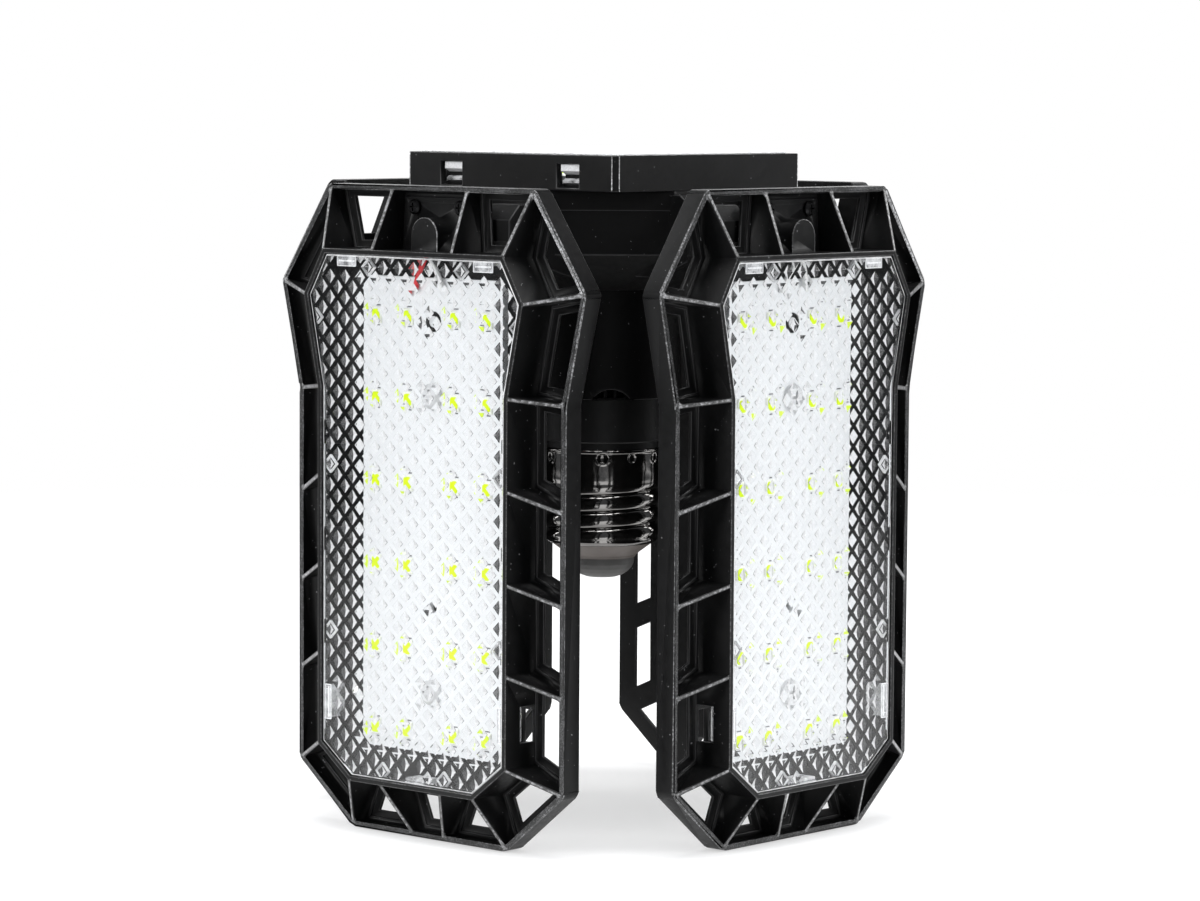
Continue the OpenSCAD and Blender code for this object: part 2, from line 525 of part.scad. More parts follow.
module base_contact() color([0.5, 0.48, 0.46]) translate([0, 0, zb]) rotate_extrude()
  polygon([[0, z_end - 4.15], [7.2, z_end - 4.15], [7.2, z_end - 4.6], [7.1, z_end - 5.5], [6.6, z_end - 6.5], [5.7, z_end - 7.4], [4.6, z_end - 8.1], [3.4, z_end - 8.5], [2.0, z_end - 8.65], [0, z_end - 8.7]]);

hub_top_frame();
hub_lens();
hub_board();
hub_leds();
hub_board_screws();
hub_housing();
housing_screws();
driver_board();
driver_capacitor();
driver_transformer();
driver_components();
hub_leads();
base_collar();
screw_shell();
base_insulator();
base_contact();
supply_leads();
hinge_screws();
hinge_washers();
hinge_nuts();
on_side(0) panel_frame();  // panel_frame_front
on_side(0) panel_lens();  // panel_lens_front
on_side(0) panel_board();  // panel_board_front
on_side(0) panel_leds();  // panel_leds_front
on_side(0) panel_board_screws();  // panel_board_screws_front
on_side(0) panel_knuckle();  // panel_knuckle_front
on_side(0) panel_knuckle_screws();  // panel_knuckle_screws_front
on_side(0) panel_leads();  // panel_leads_front
on_side(1) panel_frame();  // panel_frame_right
on_side(1) panel_lens();  // panel_lens_right
on_side(1) panel_board();  // panel_board_right
on_side(1) panel_leds();  // panel_leds_right
on_side(1) panel_board_screws();  // panel_board_screws_right
on_side(1) panel_knuckle();  // panel_knuckle_right
on_side(1) panel_knuckle_screws();  // panel_knuckle_screws_right
on_side(1) panel_leads();  // panel_leads_right
on_side(2) panel_frame();  // panel_frame_back
on_side(2) panel_lens();  // panel_lens_back
on_side(2) panel_board();  // panel_board_back
on_side(2) panel_leds();  // panel_leds_back
on_side(2) panel_board_screws();  // panel_board_screws_back
on_side(2) panel_knuckle();  // panel_knuckle_back
on_side(2) panel_knuckle_screws();  // panel_knuckle_screws_back
on_side(2) panel_leads();  // panel_leads_back
on_side(3) panel_frame();  // panel_frame_left
on_side(3) panel_lens();  // panel_lens_left
on_side(3) panel_board();  // panel_board_left
on_side(3) panel_leds();  // panel_leds_left
on_side(3) panel_board_screws();  // panel_board_screws_left
on_side(3) panel_knuckle();  // panel_knuckle_left
on_side(3) panel_knuckle_screws();  // panel_knuckle_screws_left
on_side(3) panel_leads();  // panel_leads_left
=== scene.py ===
import math

import bmesh
import bpy
from mathutils import Matrix, Vector


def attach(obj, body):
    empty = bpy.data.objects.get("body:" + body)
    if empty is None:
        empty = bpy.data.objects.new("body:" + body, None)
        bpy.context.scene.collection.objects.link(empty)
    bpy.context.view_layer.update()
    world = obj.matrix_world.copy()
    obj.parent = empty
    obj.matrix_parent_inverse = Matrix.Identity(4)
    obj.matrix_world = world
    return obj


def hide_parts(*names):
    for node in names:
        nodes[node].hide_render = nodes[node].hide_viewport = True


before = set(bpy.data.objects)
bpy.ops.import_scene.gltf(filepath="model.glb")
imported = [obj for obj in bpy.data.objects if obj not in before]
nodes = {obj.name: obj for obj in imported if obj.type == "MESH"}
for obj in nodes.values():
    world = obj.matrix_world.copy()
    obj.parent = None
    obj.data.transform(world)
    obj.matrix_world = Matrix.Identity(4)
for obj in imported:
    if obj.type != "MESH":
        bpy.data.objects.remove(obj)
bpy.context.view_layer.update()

MM = 0.001
ZB = 137.3
SIDES = ["front", "right", "back", "left"]
rad = math.radians


# ------------------------------------------------------------------ helpers
def side_matrix(k):
    """Panel coordinates in mm (x across, y up from the hub band, z out from the hub axis) to the row frame in metres."""
    return (Matrix.Rotation(rad(90 * k), 4, "Z") @ Matrix.Translation((0, 0, ZB * MM))
            @ Matrix.Rotation(rad(90), 4, "X") @ Matrix.Scale(MM, 4))


def hub_matrix():
    """Hub coordinates in mm (z up from the hub band's lower edge) to the row frame in metres."""
    return Matrix.Translation((0, 0, ZB * MM)) @ Matrix.Scale(MM, 4)


def link(me, name):
    ob = bpy.data.objects.new(name, me)
    bpy.context.scene.collection.objects.link(ob)
    return ob


def finish_piece(ob, body, replaces=()):
    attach(ob, body)
    if replaces:
        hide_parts(*replaces)
    return ob


def weighted(ob):
    for p in ob.data.polygons:
        p.use_smooth = True
    m = ob.modifiers.new("normals", "WEIGHTED_NORMAL")
    m.keep_sharp = True
    m.weight = 60
    m.mode = "FACE_AREA"
    return ob


class Solid:
    """Collects faces in one coordinate frame, sharing vertices that coincide."""

    def __init__(self):
        self.key, self.verts, self.faces, self.mats = {}, [], [], []

    def v(self, p):
        k = (round(p[0], 3), round(p[1], 3), round(p[2], 3))
        if k not in self.key:
            self.key[k] = len(self.verts)
            self.verts.append(tuple(p))
        return self.key[k]

    def face(self, pts, mat=0):
        ids = []
        for p in pts:
            i = self.v(p)
            if not ids or ids[-1] != i:
                ids.append(i)
        if len(ids) > 1 and ids[0] == ids[-1]:
            ids.pop()
        if len(set(ids)) == len(ids) and len(ids) > 2:
            self.faces.append(ids)
            self.mats.append(mat)

    def add(self, verts, faces, mat=0):
        """A closed part with vertices of its own."""
        base = len(self.verts)
        self.verts += [tuple(p) for p in verts]
        self.faces += [[base + i for i in f] for f in faces]
        self.mats += [mat] * len(faces)

    def prism(self, outline, z0, z1, mat=0, bevel=0.0, top_mat=None):
        """An outline extruded along z, with its upper edge chamfered."""
        n = len(outline)
        cx = sum(p[0] for p in outline) / n
        cy = sum(p[1] for p in outline) / n
        size = max(max(abs(p[0] - cx), abs(p[1] - cy)) for p in outline)
        s = 1 - bevel / size if bevel else 1
        rings = [[(p[0], p[1], z0) for p in outline]]
        if bevel:
            rings.append([(p[0], p[1], z1 - bevel) for p in outline])
        rings.append([(cx + (p[0] - cx) * s, cy + (p[1] - cy) * s, z1) for p in outline])
        verts = [p for r in rings for p in r]
        base = len(self.verts)
        self.verts += verts
        m = len(rings)
        self.faces.append([base + i for i in range(n - 1, -1, -1)])
        self.mats.append(mat)
        self.faces.append([base + (m - 1) * n + i for i in range(n)])
        self.mats.append(mat if top_mat is None else top_mat)
        for r in range(m - 1):
            for i in range(n):
                j = (i + 1) % n
                self.faces.append([base + r * n + i, base + r * n + j, base + (r + 1) * n + j, base + (r + 1) * n + i])
                self.mats.append(mat)

    def lathe(self, profile, centre=(0, 0), seg=32, mat=0, axis="z"):
        """A closed profile [(r, z)...] from the axis round to the axis, turned about a line along z."""
        base = len(self.verts)
        ids = []
        for r, z in profile:
            if r < 1e-6:
                ids.append([len(self.verts)] * seg)
                self.verts.append((centre[0], centre[1], z))
            else:
                ids.append([len(self.verts) + i for i in range(seg)])
                self.verts += [(centre[0] + r * math.cos(2 * math.pi * i / seg),
                                centre[1] + r * math.sin(2 * math.pi * i / seg), z) for i in range(seg)]
        for a, b in zip(ids, ids[1:]):
            for i in range(seg):
                j = (i + 1) % seg
                f = []
                for x in (a[i], a[j], b[j], b[i]):
                    if x not in f:
                        f.append(x)
                if len(f) > 2:
                    self.faces.append(f)
                    self.mats.append(mat)
        return base

    def mesh(self, name, matrix, materials):
        me = bpy.data.meshes.new(name)
        me.from_pydata([matrix @ Vector(p) for p in self.verts], [], self.faces)
        for m in materials:
            me.materials.append(m)
        me.polygons.foreach_set("material_index", self.mats)
        bm = bmesh.new()
        bm.from_mesh(me)
        bmesh.ops.holes_fill(bm, edges=[e for e in bm.edges if e.is_boundary], sides=12)
        bmesh.ops.recalc_face_normals(bm, faces=bm.faces)
        bm.to_mesh(me)
        bm.free()
        me.update()
        return me


def unit(a):
    d = math.hypot(*a)
    return (a[0] / d, a[1] / d)


def inset(P, d):
    """A clockwise outline moved in by d."""
    out = []
    n = len(P)
    for i in range(n):
        p, q, r = P[i - 1], P[i], P[(i + 1) % n]
        a, b = unit((q[0] - p[0], q[1] - p[1])), unit((r[0] - q[0], r[1] - q[1]))
        a, b = (a[1], -a[0]), (b[1], -b[0])
        k = d / (1 + a[0] * b[0] + a[1] * b[1])
        out.append((q[0] + k * (a[0] + b[0]), q[1] + k * (a[1] + b[1])))
    return out


def both(h):
    return h + [(-x, y) for x, y in reversed(h)]


def circle(r, n=24, c=(0, 0)):
    return [(c[0] + r * math.cos(-2 * math.pi * i / n), c[1] + r * math.sin(-2 * math.pi * i / n)) for i in range(n)]


def rounded(w, h, r, c=(0, 0), n=4):
    """A rounded rectangle, anticlockwise."""
    out = []
    for sx, sy, a0 in ((1, -1, -90), (1, 1, 0), (-1, 1, 90), (-1, -1, 180)):
        for i in range(n + 1):
            a = rad(a0 + 90 * i / n)
            out.append((c[0] + sx * (w / 2 - r) + r * math.cos(a), c[1] + sy * (h / 2 - r) + r * math.sin(a)))
    return out


# ------------------------------------------------------------------ materials
def new_mat(name):
    m = bpy.data.materials.new(name)
    m.use_nodes = True
    nt = m.node_tree
    p = nt.nodes.get("Principled BSDF")
    return m, nt, p


def noise_node(nt, scale, detail=3.0, rough=0.5, dist=0.0, coords=None):
    n = nt.nodes.new("ShaderNodeTexNoise")
    n.inputs["Scale"].default_value = scale
    n.inputs["Detail"].default_value = detail
    n.inputs["Roughness"].default_value = rough
    n.inputs["Distortion"].default_value = dist
    if coords is not None:
        nt.links.new(coords, n.inputs["Vector"])
    return n


def coords(nt):
    return nt.nodes.new("ShaderNodeTexCoord").outputs["Object"]


def ramp(nt, source, stops):
    r = nt.nodes.new("ShaderNodeValToRGB")
    nt.links.new(source, r.inputs["Fac"])
    e = r.color_ramp.elements
    while len(e) < len(stops):
        e.new(0.5)
    for el, (pos, col) in zip(e, stops):
        el.position = pos
        el.color = (*col, 1) if len(col) == 3 else col
    return r.outputs["Color"]


def maprange(nt, source, a, b, c, d):
    r = nt.nodes.new("ShaderNodeMapRange")
    nt.links.new(source, r.inputs["Value"])
    for k, v in zip(("From Min", "From Max", "To Min", "To Max"), (a, b, c, d)):
        r.inputs[k].default_value = v
    return r.outputs["Result"]


def bump(nt, source, strength, distance, p, normal=None):
    b = nt.nodes.new("ShaderNodeBump")
    b.inputs["Strength"].default_value = strength
    b.inputs["Distance"].default_value = distance
    nt.links.new(source, b.inputs["Height"])
    if normal is not None:
        nt.links.new(normal, b.inputs["Normal"])
    if p is not None:
        nt.links.new(b.outputs["Normal"], p.inputs["Normal"])
    return b.outputs["Normal"]


def plastic(name, base, light, grain=5200.0, rough=(0.34, 0.5), bump_s=0.25, spec=0.4, specks=True):
    """Moulded plastic: fine spark-eroded grain, a slow drift in gloss, and a few pale dust specks."""
    m, nt, p = new_mat(name)
    c = coords(nt)
    fine = noise_node(nt, grain, 2.0, 0.6, coords=c)
    slow = noise_node(nt, 90.0, 3.0, 0.5, coords=c)
    col = ramp(nt, slow.outputs["Fac"], [(0.3, base), (0.7, light)])
    if specks:
        dust = noise_node(nt, 1500.0, 1.0, 0.4, coords=c)
        mask = maprange(nt, dust.outputs["Fac"], 0.765, 0.80, 0.0, 0.55)
        mix = nt.nodes.new("ShaderNodeMix")
        mix.data_type = "RGBA"
        nt.links.new(mask, mix.inputs["Factor"])
        nt.links.new(col, mix.inputs["A"])
        mix.inputs["B"].default_value = (0.35, 0.35, 0.36, 1)
        col = mix.outputs["Result"]
    nt.links.new(col, p.inputs["Base Color"])
    mixr = noise_node(nt, 600.0, 4.0, 0.6, coords=c)
    nt.links.new(maprange(nt, mixr.outputs["Fac"], 0.3, 0.7, *rough), p.inputs["Roughness"])
    p.inputs["Specular IOR Level"].default_value = spec
    bump(nt, fine.outputs["Fac"], bump_s, 0.00006, p)
    return m


def metal(name, base, light, rough=(0.12, 0.25), grain=2600.0, bump_s=0.08, stain=None):
    m, nt, p = new_mat(name)
    c = coords(nt)
    slow = noise_node(nt, 160.0, 4.0, 0.6, coords=c)
    stops = [(0.3, base), (0.7, light)]
    if stain:
        stops = [(0.22, stain)] + stops
    nt.links.new(ramp(nt, slow.outputs["Fac"], stops), p.inputs["Base Color"])
    fine = noise_node(nt, grain, 3.0, 0.6, coords=c)
    nt.links.new(maprange(nt, fine.outputs["Fac"], 0.3, 0.7, *rough), p.inputs["Roughness"])
    p.inputs["Metallic"].default_value = 1.0
    bump(nt, fine.outputs["Fac"], bump_s, 0.00003, p)
    return m


def clear_cover(name, haze=0.0, white=0.6, tir=False, mottle=0.0, ior=1.49, shine=1.0):
    """Clear moulded plastic that bends light, and lets lamps and bounced light through to the board.

    With tir, faces that would send the view sideways inside the sheet show a lit diffuse of the given white in place of
    that inner reflection: a painted reflection, and painted shade where the white is dark.
    """
    m, nt, p = new_mat(name)
    p.inputs["Base Color"].default_value = (1, 1, 1, 1)
    p.inputs["Transmission Weight"].default_value = 1.0
    p.inputs["Specular Tint"].default_value = (shine, shine, shine, 1)
    p.inputs["IOR"].default_value = ior
    c = coords(nt)
    n = noise_node(nt, 420.0, 3.0, 0.55, coords=c)
    nt.links.new(maprange(nt, n.outputs["Fac"], 0.35, 0.7, 0.0, 0.05), p.inputs["Roughness"])
    bump(nt, n.outputs["Fac"], 0.04, 0.0001, p)
    surface = p.outputs[0]
    if haze or tir:
        d = nt.nodes.new("ShaderNodeBsdfDiffuse")
        fine = noise_node(nt, 2600.0, 2.0, 0.5, coords=c)
        nt.links.new(ramp(nt, fine.outputs["Fac"], [(0.3, (white * 0.82,) * 3), (0.7, (white, white, white * 1.01))]), d.inputs["Color"])
        fac = maprange(nt, n.outputs["Fac"], 0.35, 0.65, max(0.0, haze - mottle), haze + mottle)
        if tir:
            fr = nt.nodes.new("ShaderNodeFresnel")
            fr.inputs["IOR"].default_value = ior
            mx = nt.nodes.new("ShaderNodeMath")
            mx.operation = "MAXIMUM"
            nt.links.new(fac, mx.inputs[0])
            nt.links.new(fr.outputs[0], mx.inputs[1])
            fac = mx.outputs[0]
        mh = nt.nodes.new("ShaderNodeMixShader")
        nt.links.new(fac, mh.inputs[0])
        nt.links.new(p.outputs[0], mh.inputs[1])
        nt.links.new(d.outputs[0], mh.inputs[2])
        surface = mh.outputs[0]
    t = nt.nodes.new("ShaderNodeBsdfTransparent")
    t.inputs["Color"].default_value = (0.97, 0.975, 0.98, 1)
    lp = nt.nodes.new("ShaderNodeLightPath")
    mx = nt.nodes.new("ShaderNodeMath")
    mx.operation = "MAXIMUM"
    nt.links.new(lp.outputs["Is Shadow Ray"], mx.inputs[0])
    nt.links.new(lp.outputs["Is Diffuse Ray"], mx.inputs[1])
    mix = nt.nodes.new("ShaderNodeMixShader")
    nt.links.new(mx.outputs[0], mix.inputs[0])
    nt.links.new(surface, mix.inputs[1])
    nt.links.new(t.outputs[0], mix.inputs[2])
    nt.links.new(mix.outputs[0], nt.nodes["Material Output"].inputs["Surface"])
    return m


M = {}
M["black"] = plastic("black_moulding", (0.0028, 0.0028, 0.003), (0.0048, 0.0048, 0.005), spec=0.24)
# Painted highlight: a lighter, glossier copy of the black moulding for rounded corners and bevels.
M["soft"] = plastic("black_moulding_corner_sheen", (0.006, 0.006, 0.0065), (0.014, 0.014, 0.015), rough=(0.3, 0.45), spec=0.4, specks=False)
M["hub"] = plastic("hub_moulding", (0.0036, 0.0036, 0.0038), (0.0058, 0.0058, 0.006), rough=(0.4, 0.56), spec=0.18)
M["knuckle"] = plastic("knuckle_moulding", (0.012, 0.012, 0.0122), (0.02, 0.02, 0.0204), rough=(0.3, 0.45), spec=0.3)
M["collar"] = plastic("collar_grain", (0.012, 0.012, 0.0122), (0.02, 0.02, 0.0203), rough=(0.34, 0.46), bump_s=0.25, spec=0.28)


def painted_edge_highlight(name, dark, mid, pale, scale=2400.0, rough=0.32):
    """Painted highlight for a grained moulding: a lighter, speckled colour that stands in for the light its edges and
    fronts catch in fine grains.
    """
    m, nt, p = new_mat(name)
    c = coords(nt)
    n = noise_node(nt, scale, 2.0, 0.6, coords=c)
    slow = noise_node(nt, 220.0, 2.0, 0.5, coords=c)
    mixed = nt.nodes.new("ShaderNodeMath")
    mixed.operation = "MULTIPLY_ADD"
    nt.links.new(slow.outputs["Fac"], mixed.inputs[0])
    mixed.inputs[1].default_value = 0.35
    nt.links.new(n.outputs["Fac"], mixed.inputs[2])
    col = ramp(nt, mixed.outputs[0], [(0.52, (dark,) * 3), (0.68, (mid,) * 3), (0.84, (pale, pale, pale * 1.03))])
    nt.links.new(col, p.inputs["Base Color"])
    p.inputs["Roughness"].default_value = rough
    bump(nt, n.outputs["Fac"], 0.2, 0.00005, p)
    return m


# Painted highlights: lighter speckled colours for rounded edges, flat fronts, the rim's upper right slope, rib tops and
# the hub's corners.
M["edge"] = painted_edge_highlight("moulding_edge_highlight", 0.022, 0.075, 0.26)
M["front"] = painted_edge_highlight("moulding_front_highlight", 0.007, 0.02, 0.1, scale=3000.0, rough=0.4)
M["glint"] = painted_edge_highlight("rim_glint", 0.09, 0.24, 0.62, scale=2200.0)
# Painted shade: a less shiny copy of the black moulding for the outer side of the rim's upper right slope.
M["dull"] = plastic("black_moulding_side_shade", (0.0028, 0.0028, 0.003), (0.0048, 0.0048, 0.005), rough=(0.5, 0.65), spec=0.07)
M["ribline"] = painted_edge_highlight("rib_edge_highlight", 0.045, 0.12, 0.32, scale=1500.0)
M["clear"] = clear_cover("clear_cover", shine=0.4)
# Painted reflection and shade: where the view would reflect inside the sheet, the facets show a pale lit white and the
# creases a dark grey in its place.
M["facet"] = clear_cover("cover_facet", haze=0.12, white=0.66, tir=True, mottle=0.04)
M["crease"] = clear_cover("cover_crease_shade", haze=0.1, white=0.16, tir=True, mottle=0.04)
M["frost"] = clear_cover("cover_rim", haze=0.75, white=0.95, mottle=0.2)
M["tab"] = clear_cover("cover_tab", haze=0.42, white=0.85, mottle=0.28)
# Painted highlight: the hub cover's snap hooks are an almost pure white.
M["hook"] = clear_cover("cover_hook_highlight", haze=0.95, white=1.0, mottle=0.05)
M["corner"] = painted_edge_highlight("hub_corner_edge_highlight", 0.12, 0.34, 0.8, scale=1700.0)
M["nickel"] = metal("black_nickel", (0.2, 0.195, 0.19), (0.34, 0.33, 0.32), rough=(0.06, 0.14))
nt = M["nickel"].node_tree
wave = noise_node(nt, 130.0, 2.0, 0.45, 0.6, coords=coords(nt))
bump(nt, wave.outputs["Fac"], 0.35, 0.0006, nt.nodes["Principled BSDF"])
M["zinc"] = metal("zinc_plate", (0.45, 0.45, 0.46), (0.6, 0.6, 0.62), rough=(0.25, 0.4))
M["blackscrew"] = metal("black_screw", (0.02, 0.02, 0.021), (0.045, 0.045, 0.046), rough=(0.3, 0.45))
M["insulator"] = plastic("base_insulator", (0.2, 0.175, 0.16), (0.3, 0.265, 0.245), grain=1500, rough=(0.3, 0.5), specks=False, spec=0.4)


def board_mat():
    """White solder mask with a little mottling and a fine grain."""
    m, nt, p = new_mat("white_board")
    c = coords(nt)
    n = noise_node(nt, 300.0, 3.0, 0.6, coords=c)
    col = ramp(nt, n.outputs["Fac"], [(0.3, (0.72, 0.732, 0.738)), (0.7, (0.76, 0.772, 0.778))])
    nt.links.new(col, p.inputs["Base Color"])
    nt.links.new(maprange(nt, n.outputs["Fac"], 0.3, 0.7, 0.35, 0.5), p.inputs["Roughness"])
    f = noise_node(nt, 4000.0, 2.0, 0.5, coords=c)
    bump(nt, f.outputs["Fac"], 0.12, 0.00004, p)
    return m


def simple(name, base, light, rough=(0.3, 0.5), scale=300.0, grain=2500.0, bump_s=0.15, coat=0.0, spec=0.5):
    m, nt, p = new_mat(name)
    c = coords(nt)
    n = noise_node(nt, scale, 3.0, 0.6, coords=c)
    nt.links.new(ramp(nt, n.outputs["Fac"], [(0.3, base), (0.7, light)]), p.inputs["Base Color"])
    nt.links.new(maprange(nt, n.outputs["Fac"], 0.3, 0.7, *rough), p.inputs["Roughness"])
    f = noise_node(nt, grain, 2.0, 0.5, coords=c)
    bump(nt, f.outputs["Fac"], bump_s, 0.00005, p)
    p.inputs["Coat Weight"].default_value = coat
    p.inputs["Specular IOR Level"].default_value = spec
    return m


M["board"] = board_mat()
M["chrome"] = simple("bright_screw", (0.5, 0.505, 0.51), (0.68, 0.685, 0.69), rough=(0.18, 0.3), spec=0.9, coat=0.3)
M["contact"] = simple("tin_contact", (0.15, 0.148, 0.144), (0.2, 0.197, 0.192), rough=(0.4, 0.55), spec=0.5)
M["led"] = simple("led_package", (0.82, 0.84, 0.74), (0.88, 0.9, 0.8), rough=(0.4, 0.5))
M["phosphor"] = simple("led_phosphor", (0.6, 0.84, 0.004), (0.74, 0.95, 0.012), rough=(0.3, 0.45), scale=1800, spec=0.2)
M["solder"] = simple("solder", (0.66, 0.67, 0.67), (0.78, 0.79, 0.79), rough=(0.25, 0.4))
M["slit"] = simple("board_slit", (0.06, 0.062, 0.066), (0.13, 0.133, 0.14))
M["red"] = simple("red_wire", (0.5, 0.006, 0.012), (0.62, 0.012, 0.02), rough=(0.25, 0.4), coat=0.2)
M["white"] = simple("white_wire", (0.72, 0.72, 0.71), (0.8, 0.8, 0.79), rough=(0.3, 0.45), coat=0.2)
M["pcb"] = simple("driver_board", (0.02, 0.10, 0.045), (0.03, 0.14, 0.06), rough=(0.25, 0.4), coat=0.3)
M["cap"] = simple("capacitor_sleeve", (0.012, 0.018, 0.05), (0.02, 0.03, 0.07), rough=(0.2, 0.35), coat=0.3)
M["tape"] = simple("transformer_tape", (0.62, 0.5, 0.08), (0.74, 0.6, 0.12), rough=(0.3, 0.45))
M["part"] = simple("component_black", (0.02, 0.02, 0.022), (0.035, 0.035, 0.037), rough=(0.4, 0.55))

# ------------------------------------------------------------------ outlines shared with the CAD
RIM = both([(29.9, 1.0), (44.4, -20.1), (38.9, -43.3), (38.9, -124.1), (22.65, -137.3)])
TRAY = both([(26.2, -12.6), (31.9, -22.4), (27.7, -42.1), (27.6, -119.1), (18.2, -126.3)])
TRAY_IN = inset(TRAY, 1.1)
LENS = inset(TRAY_IN, 0.15)


# ------------------------------------------------------------------ bevelled mouldings
def bevelled(node, name, body, width, mats, segments=2, least=0.45, angle=28, pick=None):
    """A copy of a CAD moulding with its sharp edges rounded."""
    bm = bmesh.new()
    bm.from_mesh(nodes[node].data)
    bmesh.ops.remove_doubles(bm, verts=bm.verts, dist=3e-6)
    bmesh.ops.dissolve_degenerate(bm, dist=2e-6, edges=bm.edges)
    bmesh.ops.dissolve_limit(bm, angle_limit=rad(0.4), use_dissolve_boundaries=False, verts=bm.verts, edges=bm.edges)
    bmesh.ops.triangulate(bm, faces=bm.faces, quad_method="BEAUTY", ngon_method="BEAUTY")
    bm.normal_update()
    edges = []
    for e in bm.edges:
        if len(e.link_faces) != 2 or e.calc_length() < least * MM or not e.is_convex:
            continue
        a = e.calc_face_angle(0.0)
        if rad(angle) < a < rad(165):
            edges.append(e)
    # The rounded faces take material 1, a lighter copy of the moulding: a painted highlight.
    bmesh.ops.bevel(bm, geom=edges, offset=width * MM, offset_type="OFFSET", segments=segments, profile=0.5,
                    affect="EDGES", clamp_overlap=False, material=1, loop_slide=True)
    if pick:
        bm.normal_update()
        for f in bm.faces:
            if f.material_index == 1:
                f.material_index = pick(f.calc_center_median(), f.normal)
    me = bpy.data.meshes.new(name)
    bm.to_mesh(me)
    bm.free()
    for m in mats:
        me.materials.append(m)
    ob = link(me, name)
    weighted(ob)
    return finish_piece(ob, body, [node])


def near_line(P, x, y):
    """Distance of a point from a closed outline."""
    best = 1e9
    for i in range(len(P)):
        a, b = P[i - 1], P[i]
        dx, dy = b[0] - a[0], b[1] - a[1]
        t = max(0.0, min(1.0, ((x - a[0]) * dx + (y - a[1]) * dy) / (dx * dx + dy * dy)))
        best = min(best, math.hypot(x - a[0] - t * dx, y - a[1] - t * dy))
    return best


RIM_IN = inset(RIM, 1.2)


